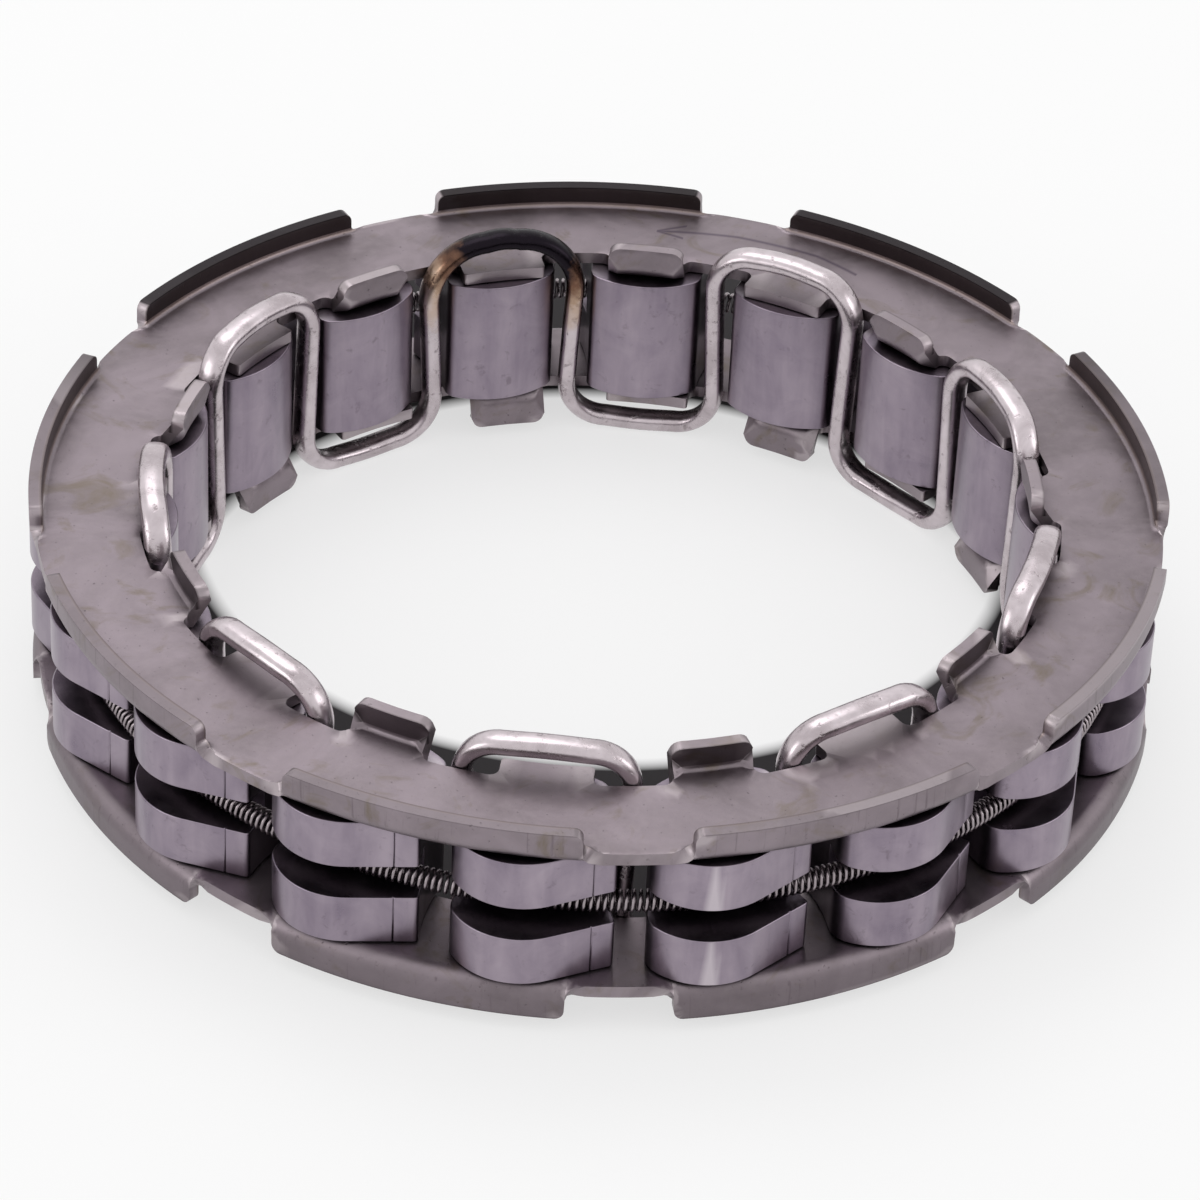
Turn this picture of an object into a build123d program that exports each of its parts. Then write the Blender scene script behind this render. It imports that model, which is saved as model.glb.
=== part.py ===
"""Sprag one-way clutch ring.

Two pressed side plates, one serpentine wire cage, eighteen sprags and the
garter spring that keeps the sprags tipped against both races.

Frame: millimetres, +Z along the clutch axis, origin on the axis half way
between the side plates.  A gap between two rim lips faces -Y.
"""
import os
from math import cos, radians, sin, sqrt, tan

from build123d import *

os.makedirs("parts", exist_ok=True)

# ---------------------------------------------------------------- pitches
sprag_count = 18
lip_count = sprag_count // 2
sprag_pitch = 360 / sprag_count          # degrees
lip_pitch = 360 / lip_count
front_angle = -90.0                      # a lip gap and a wire leg stand here

# ---------------------------------------------------------------- races
outer_race_radius = 49.0                 # the sprags' outer cams roll on this
race_gap = 12.8                          # radial height of the sprags

# ---------------------------------------------------------------- sprags
outer_cam_radius = 6.0
outer_cam_shift = -1.3                   # clockwise of the sprag's middle line
inner_cam_radius = 8.5
inner_cam_shift = 0.4                    # counter-clockwise: gives the strut angle
flank_slope = 28.7                       # degrees, long flank down to the heel
heel_clearance = 1.27                    # to the line half way to the next sprag
toe_clearance = 1.07
toe_level = 2.0                          # toe corner outside the cam's own axis
toe_turn = 58.2                          # degrees, how far the cam wraps to the toe
toe_bevel = 0.9
foot_bevel = 0.8
waist_depth = 0.45
sprag_end_clearance = 0.1

# ---------------------------------------------------------------- spring
spring_depth = 3.9                       # coil axis below the outer race
spring_coil_radius = 1.0
spring_seat_clearance = 0.35
spring_side_clearance = 0.55
groove_floor_crown = 20.0                # the sprag rocks under the spring

# ---------------------------------------------------------------- side plates
plate_spacing = 12.5
plate_lag = 1.1                          # degrees, play between the two plates
sheet = 1.1
bend_inside = 0.4
bend_steps = 2                           # flats that stand for the rolled corner
lip_race_clearance = 0.1
lip_height = 2.05                        # above the outside face of the plate
lip_gap = 10.4                           # degrees between the ends of two lips
lip_corner_rounding = 0.8
lip_root_rounding = 0.7
corner_steps = 2                         # flats that stand for a rounded corner
rim_setback = 0.5                        # plate edge in a gap, inside the lips
tab_race_clearance = 0.8
tab_width = 6.8
tab_height = 2.25
tab_corner_rounding = 1.0
land_race_clearance = 1.1
land_width = 7.6
notch_depth = 2.4
notch_bevel = 0.7

# ---------------------------------------------------------------- wire cage
wire_thickness = 1.65                    # along the ring and along the axis
wire_width = 2.3                         # in and out
wire_bevel = 0.45
wire_notch_clearance = 0.1
wire_leg_clearance = 0.84
wire_bend_radius = 3.7
wire_bend_steps = 4
wire_rise = 3.5                          # crest of a loop above the plate

# ---------------------------------------------------------------- derived
inner_race_radius = outer_race_radius - race_gap
sprag_length = plate_spacing - 2 * sprag_end_clearance
half_pitch = radians(sprag_pitch / 2)
plate_inside = plate_spacing / 2
plate_outside = plate_inside + sheet
bend_outside = bend_inside + sheet
lip_outer_radius = outer_race_radius - lip_race_clearance
lip_top = plate_outside + lip_height
rim_radius = lip_outer_radius - rim_setback
tab_inner_radius = inner_race_radius + tab_race_clearance
tab_top = plate_outside + tab_height
land_radius = inner_race_radius + land_race_clearance
notch_radius = land_radius + notch_depth
wire_radius = notch_radius - wire_notch_clearance - wire_width / 2
wire_crest = plate_outside + wire_rise - wire_thickness / 2
spring_radius = outer_race_radius - spring_depth
groove_width = 2 * (spring_coil_radius + spring_side_clearance)
groove_floor_radius = spring_radius - spring_coil_radius - spring_seat_clearance
reach = 1.2 * outer_race_radius          # comfortably outside everything


def around(shape, angle):
    """Turn a shape made on the +X side to its place on the ring."""
    return Rot(0, 0, angle) * shape


def side_cutter(outline, near, far):
    """Extrude a side view (along the ring, up) outwards between two radii."""
    plane = Plane(origin=(near, 0, 0), x_dir=(0, 1, 0), z_dir=(1, 0, 0))
    return extrude(plane * outline, amount=far - near)


def upturned_edge(face_radius, height, outward, span):
    """Sheet rolled up to a wall whose far face lies on face_radius.

    outward is +1 for the rim lips and -1 for the tabs in the bore; the piece
    spans an angle in degrees, centred on +X.
    """
    near_face = face_radius - outward * sheet
    flat_end = near_face - outward * 2 * bend_inside
    section = [(flat_end, plate_inside)]
    for step in range(bend_steps + 1):
        turn = radians(90 * step / bend_steps)
        across = face_radius - outward * bend_outside * (1 - sin(turn))
        section.append((across, plate_inside + bend_outside * (1 - cos(turn))))
    section.append((face_radius, height))
    section.append((near_face, height))
    section.append((near_face, plate_outside + bend_inside))
    section.append((near_face - outward * bend_inside, plate_outside))
    section.append((flat_end, plate_outside))
    wall = revolve(Plane.XZ * make_face(Polyline(*section, close=True)), axis=Axis.Z, revolution_arc=span)
    return around(wall, -span / 2)


def corner_points(centre, radius, start):
    """Points of a rounded corner, a quarter turn clockwise from start degrees."""
    points = []
    for step in range(corner_steps + 1):
        turn = radians(start - 90 * step / corner_steps)
        points.append((centre[0] + radius * cos(turn), centre[1] + radius * sin(turn)))
    return points


def both_sides(right_half):
    """Close the right half of a symmetrical side view with its mirror image."""
    left_half = [(-along, up) for along, up in reversed(right_half)]
    return make_face(Polyline(*(right_half + left_half), close=True))


def lip_gap_outline():
    """Side view of one gap: rounded roots, straight ends, flared corners."""
    half = lip_outer_radius * radians(lip_gap / 2)
    flare = half + lip_corner_rounding
    root = corner_points((half - lip_root_rounding, plate_outside + lip_root_rounding), lip_root_rounding, 0)
    crown = corner_points((flare, lip_top - lip_corner_rounding), lip_corner_rounding, 180)
    return both_sides(root[::-1] + crown + [(flare, lip_top + sheet)])


def tab_outline():
    """Side view of one tab, rounded at its free corners."""
    half = tab_width / 2
    centre = (half - tab_corner_rounding, tab_top - tab_corner_rounding)
    return both_sides([(half, plate_inside)] + corner_points(centre, tab_corner_rounding, 90)[::-1])


def bore_strip(inner_radius, width):
    """Strip of flat sheet that reaches into the bore on +X, flared at its root."""
    half = width / 2
    flare = notch_bevel + sheet / 2
    side = [
        (tab_inner_radius - sheet, half),
        (notch_radius - notch_bevel, half),
        (notch_radius + sheet / 2, half + flare),
    ]
    other_side = [(out, -along) for out, along in reversed(side)]
    strip = make_face(Polyline(*(side + other_side), close=True))
    strip &= Circle(notch_radius + sheet / 2) - Circle(inner_radius)
    return Pos(0, 0, plate_inside) * extrude(strip, amount=sheet)


def tab():
    """One tab of the bore, folded up, on +X."""
    wall = upturned_edge(tab_inner_radius, tab_top, -1, sprag_pitch)
    wall &= side_cutter(tab_outline(), tab_inner_radius / 2, notch_radius)
    return wall + bore_strip(tab_inner_radius + sheet + 2 * bend_inside, tab_width)


def side_plate():
    """Upper side plate: rim lips and bore tabs stand up, lands lie flat."""
    flat_radius = lip_outer_radius - sheet - 2 * bend_inside
    flat = Circle(flat_radius) - Circle(notch_radius)
    plate = Pos(0, 0, plate_inside) * extrude(flat, amount=sheet)
    lip = upturned_edge(lip_outer_radius, lip_top, 1, lip_pitch)
    half_gap = side_cutter(lip_gap_outline(), flat_radius - sheet, reach)
    lip -= around(half_gap, -lip_pitch / 2)
    lip -= around(half_gap, lip_pitch / 2)
    root_angle = lip_gap / 2
    rim = Circle(rim_radius) - Circle(flat_radius)
    wedge = make_face(
        Polyline(
            (0, 0),
            (reach, -reach * tan(radians(root_angle))),
            (reach, reach * tan(radians(root_angle))),
            close=True,
        )
    )
    rim_in_gap = Pos(0, 0, plate_inside) * extrude(rim & wedge, amount=sheet)
    folded = tab()
    land = bore_strip(land_radius, land_width)
    pieces = []
    for index in range(lip_count):
        gap_angle = front_angle + lip_pitch * index
        pieces.append(around(rim_in_gap, gap_angle))
        pieces.append(around(lip, gap_angle + lip_pitch / 2))
        pieces.append(around(folded, gap_angle + sprag_pitch / 2))
        pieces.append(around(land, gap_angle - sprag_pitch / 2))
    plate = plate.fuse(*pieces)
    return plate


def sprag():
    """One sprag standing on +X, with the groove for the garter spring."""
    slope = radians(flank_slope)
    outer_axis = sqrt((outer_race_radius - outer_cam_radius) ** 2 - outer_cam_shift ** 2)
    inner_axis = sqrt((inner_race_radius + inner_cam_radius) ** 2 - inner_cam_shift ** 2)
    flank_start = (
        outer_axis + outer_cam_radius * cos(slope),
        outer_cam_shift + outer_cam_radius * sin(slope),
    )
    flank_on_middle_line = flank_start[0] + flank_start[1] * tan(slope)
    heel_reach = flank_on_middle_line * tan(half_pitch) - heel_clearance / cos(half_pitch)
    heel_along = heel_reach / (1 + tan(slope) * tan(half_pitch))
    heel = (flank_start[0] - (heel_along - flank_start[1]) * tan(slope), heel_along)
    toe_out = outer_axis + toe_level
    toe_along = toe_out * tan(half_pitch) - toe_clearance / cos(half_pitch)
    cam_end = (
        outer_axis + outer_cam_radius * cos(radians(toe_turn)),
        outer_cam_shift - outer_cam_radius * sin(radians(toe_turn)),
    )
    toe_corner = (toe_out, -toe_along)
    leg_side = wire_thickness / 2 + wire_leg_clearance
    foot_along = wire_radius * tan(half_pitch) - leg_side / cos(half_pitch)
    heel_foot = (inner_axis - sqrt(inner_cam_radius ** 2 - (foot_along - inner_cam_shift) ** 2), foot_along)
    toe_foot = (inner_axis - sqrt(inner_cam_radius ** 2 - (foot_along + inner_cam_shift) ** 2), -foot_along)
    waist_out = (heel[0] + heel_foot[0]) / 2
    heel_waist = (waist_out, (heel_along + foot_along) / 2 - waist_depth)
    toe_waist = (waist_out, waist_depth - (toe_along + foot_along) / 2)
    outline = [
        ThreePointArc(cam_end, (outer_axis + outer_cam_radius, outer_cam_shift), flank_start),
        Line(flank_start, heel),
        ThreePointArc(heel, heel_waist, heel_foot),
        ThreePointArc(heel_foot, (inner_axis - inner_cam_radius, inner_cam_shift), toe_foot),
        ThreePointArc(toe_foot, toe_waist, toe_corner),
        Line(toe_corner, cam_end),
    ]
    plan = make_face(outline)
    plan = chamfer(plan.vertices().sort_by(Axis.X)[:2], foot_bevel)
    plan = chamfer(plan.vertices().sort_by_distance(toe_corner)[:1], toe_bevel)
    body = extrude(Pos(0, 0, -sprag_length / 2) * plan, amount=sprag_length)
    floor = Pos(groove_floor_radius - groove_floor_crown, 0) * Circle(groove_floor_crown)
    slot = Pos(outer_race_radius, 0) * Rectangle(race_gap, 3 * heel_along)
    return body - extrude(Pos(0, 0, -groove_width / 2) * (slot - floor), amount=groove_width)


def wire_outline():
    """Cross-section of the flattened wire: in-and-out along X."""
    bar = Rectangle(wire_width, wire_thickness)
    return chamfer(bar.vertices(), wire_bevel)


def wire_section(turn):
    """Section after bending by turn degrees out of the leg on +X."""
    along = wire_bend_radius * (1 - cos(radians(turn)))
    lift = wire_crest - wire_bend_radius + wire_bend_radius * sin(radians(turn))
    angle = along / wire_radius / radians(1)
    return around(Pos(wire_radius, 0, lift) * Rot(-turn, 0, 0) * wire_outline(), angle)


def wire_loop():
    """Two bends and the bar between them, over a land on +X."""
    turns = [90 * step / wire_bend_steps for step in range(wire_bend_steps + 1)]
    bend = around(loft([wire_section(turn) for turn in turns], ruled=True), -sprag_pitch / 2)
    span = sprag_pitch - 2 * wire_bend_radius / wire_radius / radians(1)
    cut = Plane.XZ * Pos(wire_radius, wire_crest) * wire_outline()
    bar = around(revolve(cut, axis=Axis.Z, revolution_arc=span), -span / 2)
    return bend, bar, mirror(bend, about=Plane.XZ)


def wire_cage():
    """One closed wire weaving over the upper lands and under the lower ones."""
    leg_half = wire_crest - wire_bend_radius
    leg = Pos(wire_radius, 0, -leg_half) * extrude(wire_outline(), amount=2 * leg_half)
    pieces = []
    for index in range(lip_count):
        turn = front_angle + lip_pitch * index
        pieces.append(around(leg, turn))
        pieces.append(around(leg, turn + sprag_pitch))
        for piece in wire_loop():
            pieces.append(around(piece, turn - sprag_pitch / 2))
            pieces.append(around(Rot(180, 0, 0) * piece, turn + sprag_pitch / 2))
    return pieces[0].fuse(*pieces[1:])


upper_side_plate = side_plate()
lower_side_plate = around(Rot(0, 180, 0) * upper_side_plate, -plate_lag)
cage = wire_cage()
spring_section = Pos(spring_radius, 0) * RegularPolygon(spring_coil_radius, 8, major_radius=False)
garter_spring = revolve(Plane.XZ * spring_section, axis=Axis.Z)
one_sprag = sprag()

export_step(upper_side_plate, "parts/upper_side_plate.step")
export_step(lower_side_plate, "parts/lower_side_plate.step")
export_step(cage, "parts/wire_cage.step")
export_step(garter_spring, "parts/garter_spring.step")
for index in range(sprag_count):
    place = around(one_sprag, front_angle + sprag_pitch * (index + 0.5))
    export_step(place, "parts/sprag_%02d.step" % (index + 1))

print("wire", cage.volume, len(cage.solids()), "plate", upper_side_plate.volume, len(upper_side_plate.solids()))
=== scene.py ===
# %% [markdown]
# # A sprag one-way clutch ring
#
# The ring lets a shaft turn freely one way and grips it the other way. Eighteen
# cam-shaped sprags stand between two pressed side plates. A serpentine wire is
# woven through the plates' bores and keeps the sprags apart, and a garter spring
# in the sprags' grooves tips them against both races.
#
# The CAD frame holds every piece at its true place. Each visible piece here is
# made again with the small roundings, rolled bends and single spring coils that
# a CAD model for checking leaves out, and rides on the CAD body that it stands for.

# %% Load the frame
from math import asin, atan2, cos, hypot, pi, radians, sin, sqrt, tan

import bpy
import numpy as np
from mathutils import Matrix, Vector
from mathutils.geometry import delaunay_2d_cdt


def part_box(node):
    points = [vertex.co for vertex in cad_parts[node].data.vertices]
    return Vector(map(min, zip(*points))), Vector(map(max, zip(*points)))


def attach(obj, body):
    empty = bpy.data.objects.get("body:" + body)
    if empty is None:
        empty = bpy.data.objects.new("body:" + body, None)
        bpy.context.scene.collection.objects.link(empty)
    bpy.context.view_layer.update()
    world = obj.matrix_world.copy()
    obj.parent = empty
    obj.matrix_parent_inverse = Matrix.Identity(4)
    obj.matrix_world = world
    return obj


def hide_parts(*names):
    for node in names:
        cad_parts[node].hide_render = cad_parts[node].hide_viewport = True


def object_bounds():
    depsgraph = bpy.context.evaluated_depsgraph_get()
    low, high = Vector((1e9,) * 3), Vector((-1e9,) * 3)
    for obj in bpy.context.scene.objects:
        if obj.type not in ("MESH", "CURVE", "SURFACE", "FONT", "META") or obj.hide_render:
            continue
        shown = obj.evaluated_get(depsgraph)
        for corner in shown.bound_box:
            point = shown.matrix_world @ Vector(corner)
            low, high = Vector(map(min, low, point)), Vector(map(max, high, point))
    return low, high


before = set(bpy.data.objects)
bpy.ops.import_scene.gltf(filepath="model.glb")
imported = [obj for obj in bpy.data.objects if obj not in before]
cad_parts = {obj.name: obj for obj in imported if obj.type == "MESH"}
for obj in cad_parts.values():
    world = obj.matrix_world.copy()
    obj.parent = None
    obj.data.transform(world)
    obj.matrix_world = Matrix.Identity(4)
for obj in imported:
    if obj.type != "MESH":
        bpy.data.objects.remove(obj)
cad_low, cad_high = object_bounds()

# %% [markdown]
# ## Sizes
#
# Lengths are written in millimetres, as on a workshop drawing, and turned into
# Blender's metres where a mesh is made. What the frame already knows is measured
# from its boxes; the rest are the drawing's own values.

# %% Sizes
mm = 0.001
sprag_count = 18
lip_count = sprag_count // 2
sprag_pitch = 2 * pi / sprag_count
lip_pitch = 2 * pi / lip_count
front = -pi / 2  # a gap between two rim lips faces -Y


def box_mm(node):
    """Lowest and highest corners of a CAD node in millimetres."""
    low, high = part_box(node)
    return low / mm, high / mm


outer_race_radius = 49.0
race_gap = 12.8
inner_race_radius = outer_race_radius - race_gap
race_clearance = 0.01  # keeps the sprags' crests inside the CAD box
sheet = 1.1
lip_height = 2.05  # of a lip above the plate's outer face
plate_inside = box_mm("upper_side_plate")[0].z
plate_outside = plate_inside + sheet
lip_top = plate_outside + lip_height
print("plate faces at", round(plate_inside, 3), round(plate_outside, 3))
print("lips up to", round(lip_top, 3))

# %% [markdown]
# ## Meshes from points
#
# Every piece is made in mesh code: a list of points in millimetres and a list of
# faces. One helper turns them into an object with smooth shading, and another
# says which CAD body it rides on and which CAD node it stands for.

# %% Mesh helpers
def make_object(name, points, faces, material):
    """A mesh object from points in millimetres."""
    mesh = bpy.data.meshes.new(name)
    mesh.from_pydata([Vector(point) * mm for point in points], [], faces)
    mesh.validate()
    mesh.polygons.foreach_set("use_smooth", [True] * len(mesh.polygons))
    mesh.materials.append(material)
    piece = bpy.data.objects.new(name, mesh)
    bpy.context.scene.collection.objects.link(piece)
    return piece


def tube_faces(ring_count, corners):
    """Faces of a tube of rings of points that closes on itself."""
    faces = []
    for ring in range(ring_count):
        here, there = ring * corners, (ring + 1) % ring_count * corners
        for corner in range(corners):
            turn = (corner + 1) % corners
            faces.append((here + corner, here + turn, there + turn, there + corner))
    return faces


def ring_directions(angle):
    """Outwards and onwards at an angle on the ring."""
    return Vector((cos(angle), sin(angle), 0)), Vector((-sin(angle), cos(angle), 0))


def stand_for(piece, node, body):
    """The piece rides on the body and hides the CAD node."""
    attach(piece, body)
    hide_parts(node)


def keep_faces_flat(piece):
    """Shade the flat faces flat, right up to their edges."""
    weighted = piece.modifiers.new("flat faces", "WEIGHTED_NORMAL")
    weighted.keep_sharp = True


def soften_edges(piece, width):
    """A small rounding on every sharp edge."""
    bevel = piece.modifiers.new("edge rounding", "BEVEL")
    bevel.width = width * mm
    bevel.segments = 2
    bevel.limit_method = "ANGLE"
    bevel.angle_limit = radians(50)
    keep_faces_flat(piece)


# %% [markdown]
# ## Shader helpers
#
# All finishes are procedural. A few short helpers keep the node code readable:
# they make a node, link its inputs and hand back its output.

# %% Shader helpers
def new_material(name):
    """An empty node material with its Principled shader."""
    material = bpy.data.materials.new(name)
    material.use_nodes = True
    return material, material.node_tree, material.node_tree.nodes["Principled BSDF"]


def add_node(tree, kind, inputs=None, **settings):
    """One node with its settings and its inputs, linked or set."""
    node = tree.nodes.new(kind)
    for key, value in settings.items():
        setattr(node, key, value)
    for key, value in (inputs or {}).items():
        if isinstance(value, bpy.types.NodeSocket):
            tree.links.new(value, node.inputs[key])
        else:
            node.inputs[key].default_value = value
    return node


def maths(tree, operation, first, second=0.0, third=0.0):
    """The output of one Math node."""
    node = add_node(tree, "ShaderNodeMath", {0: first, 1: second, 2: third}, operation=operation)
    return node.outputs[0]


def times(tree, first, second):
    """The product of two values."""
    return maths(tree, "MULTIPLY", first, second)


def minus(tree, first, second):
    """The first value less the second."""
    return maths(tree, "SUBTRACT", first, second)


def without_sign(tree, value):
    """How far the value is from zero."""
    return maths(tree, "ABSOLUTE", value)


def between(tree, value, low, high):
    """1 where the value lies between two bounds, else 0."""
    above = maths(tree, "GREATER_THAN", value, low)
    return times(tree, above, maths(tree, "LESS_THAN", value, high))


def place(tree, stretch=(1, 1, 1)):
    """Object coordinates in millimetres, scaled for a grain."""
    where = add_node(tree, "ShaderNodeTexCoord").outputs["Object"]
    scale = [value / mm for value in stretch]
    return add_node(tree, "ShaderNodeMapping", {"Vector": where, "Scale": scale}).outputs[0]


def clouds(tree, vector, size, detail=3.0, rough=0.55, warp=0.0):
    """Soft noise whose blotches are about size millimetres across."""
    settings = {"Vector": vector, "Scale": 1 / size, "Detail": detail}
    settings.update({"Roughness": rough, "Distortion": warp})
    return add_node(tree, "ShaderNodeTexNoise", settings).outputs["Fac"]


def spread(tree, value, low, high, to_low=0.0, to_high=1.0):
    """Remap a value from low..high to to_low..to_high, held at the ends."""
    settings = {"Value": value, 1: low, 2: high, 3: to_low, 4: to_high}
    return add_node(tree, "ShaderNodeMapRange", settings).outputs[0]


def blend_colours(tree, factor, first, second):
    """A mix of two colours: the first one at factor 0, the second one at 1."""
    inputs = {0: factor}
    for socket, colour in ((6, first), (7, second)):  # the Mix node's two colour sockets
        linked = isinstance(colour, bpy.types.NodeSocket)
        inputs[socket] = colour if linked else (*colour, 1)
    return add_node(tree, "ShaderNodeMix", inputs, data_type="RGBA").outputs[2]


def over(tree, colour, tint, mask, strength):
    """The colour with a tint over it, as strong as the mask times the strength."""
    return blend_colours(tree, times(tree, mask, strength), colour, tint)


def shade_recesses(tree, colour, dark, reach, least):
    """Painted shade: the colour going dark in corners within reach millimetres, down to its least
    share.
    """
    settings = {"Distance": reach * mm}
    open_share = add_node(tree, "ShaderNodeAmbientOcclusion", settings, samples=6).outputs["AO"]
    return blend_colours(tree, spread(tree, open_share, 0.15, 0.85, least, 1.0), dark, colour)


def edge_wear_and_highlight(tree, low, high):
    """1 on convex edges, 0 on flat and hollow places: the mask for rubbed wear and painted
    highlights.
    """
    pointed = add_node(tree, "ShaderNodeNewGeometry").outputs["Pointiness"]
    return spread(tree, pointed, low, high)


def length_of(tree, across, along):
    """Length of a flat offset."""
    squares = maths(tree, "ADD", times(tree, across, across), times(tree, along, along))
    return maths(tree, "SQRT", squares)


def ring_place(tree):
    """Radius, angle and height on the ring, in millimetres and radians."""
    x, y, z = add_node(tree, "ShaderNodeSeparateXYZ", {"Vector": place(tree)}).outputs
    return length_of(tree, x, y), maths(tree, "ARCTAN2", y, x), z


def hump(tree, value, middle, half_width):
    """1 where the value is at the middle, falling to 0 half_width away."""
    return spread(tree, without_sign(tree, minus(tree, value, middle)), 0, half_width, 1.0, 0.0)


def relief(tree, height, depth, below=None):
    """A bump whose full height is depth millimetres, on top of the bump below."""
    inputs = {"Height": height, "Distance": depth * mm, "Strength": 1.0}
    if below is not None:
        inputs["Normal"] = below
    return add_node(tree, "ShaderNodeBump", inputs).outputs[0]


def finish_metal(tree, shader, colour, roughness, bump=None):
    """Bare metal with its colour, its roughness and, where it has one, its bump."""
    shader.inputs["Metallic"].default_value = 1.0
    tree.links.new(colour, shader.inputs["Base Color"])
    tree.links.new(roughness, shader.inputs["Roughness"])
    if bump is not None:
        tree.links.new(bump, shader.inputs["Normal"])


# %% [markdown]
# ## Steel of the side plates
#
# Cold-rolled strip, pressed and tumbled: a warm satin grey with broad cloudy
# stains, a few olive tarnish spots and fine pits. Metallic with medium roughness,
# and the clouds drive colour, roughness and a shallow bump together. Painted shade
# darkens the lips' inner faces, most on the far side of the ring, where it stands
# in for the reflection of an unlit wall; it also darkens the tabs' backs, the lower
# lips' walls and the corners. Painted highlights lighten the roots of the rim bends
# and, with rubbed wear, the sharp edges. An arrow is etched on the upper plate.

# %% Direction arrow
arrow_radius = 44.2  # where the arrow starts and ends
arrow_bow = 0.9  # how far out its middle lies
arrow_tail, bow_starts = radians(54.2), radians(60)
bow_ends, arrow_tip = radians(70), radians(79.6)
shaft_line = 0.30  # half widths of the etched lines
barb_line = 0.28
barb_length = 2.6
barb_slope = 0.42


def arrow_mark(tree, radius, angle, height):
    """An etched arrow on the upper plate that shows the free turning direction."""
    bowed = arrow_radius + arrow_bow
    rise = spread(tree, angle, arrow_tail, bow_starts, arrow_radius, bowed)
    fall = spread(tree, angle, bow_ends, arrow_tip, bowed, arrow_radius)
    off_line = minus(tree, radius, maths(tree, "MINIMUM", rise, fall))
    on_line = hump(tree, off_line, 0, shaft_line)
    shaft = times(tree, on_line, between(tree, angle, arrow_tail, arrow_tip))
    behind_tip = times(tree, minus(tree, arrow_tip, angle), arrow_radius)
    off_barb = minus(tree, without_sign(tree, off_line), times(tree, behind_tip, barb_slope))
    on_barb = hump(tree, off_barb, 0, barb_line)
    barbs = times(tree, on_barb, between(tree, behind_tip, 0.0, barb_length))
    on_top = maths(tree, "GREATER_THAN", height, plate_outside - 0.2)
    return times(tree, maths(tree, "MAXIMUM", shaft, barbs), on_top)


# %% Plate steel
strip_dark, strip_light = (0.200, 0.168, 0.183), (0.285, 0.240, 0.266)
grain_light = (0.33, 0.285, 0.30)
olive_tarnish = (0.160, 0.128, 0.082)
pit_brown = (0.07, 0.055, 0.06)
score_grey = (0.08, 0.06, 0.07)
# painted highlight along the root of each rim bend
bend_root_highlight_gold = (0.40, 0.31, 0.27)
# rubbed wear and painted highlight on the plates' sharp edges
edge_bright = (0.52, 0.46, 0.48)
etched_line = (0.07, 0.05, 0.08)
# painted shade on the lips' inner faces, darker still on the far side of the ring
lip_back_painted_shade, distant_lip_shade_colour = (0.045, 0.036, 0.040), (0.012, 0.009, 0.011)
crown_grey = (0.075, 0.062, 0.068)
tab_back_painted_shade = (0.04, 0.032, 0.034)
low_wall_painted_shade = (0.08, 0.065, 0.072)
# painted shade in the plates' corners
plate_corner_dark = (0.022, 0.015, 0.018)
wall_radii = (48.3, 48.7)  # where the lips' outer wall begins and is whole
crown_radius = 47.0  # a crown is the top edge of a lip, outside this
lip_back_radius = 47.7  # the lips' faces towards the bore
tab_back_radius = 38.2  # the tabs' faces towards the rim
# where the painted highlight at the rim bend's root lies
bend_highlight_radius = 47.75


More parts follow.
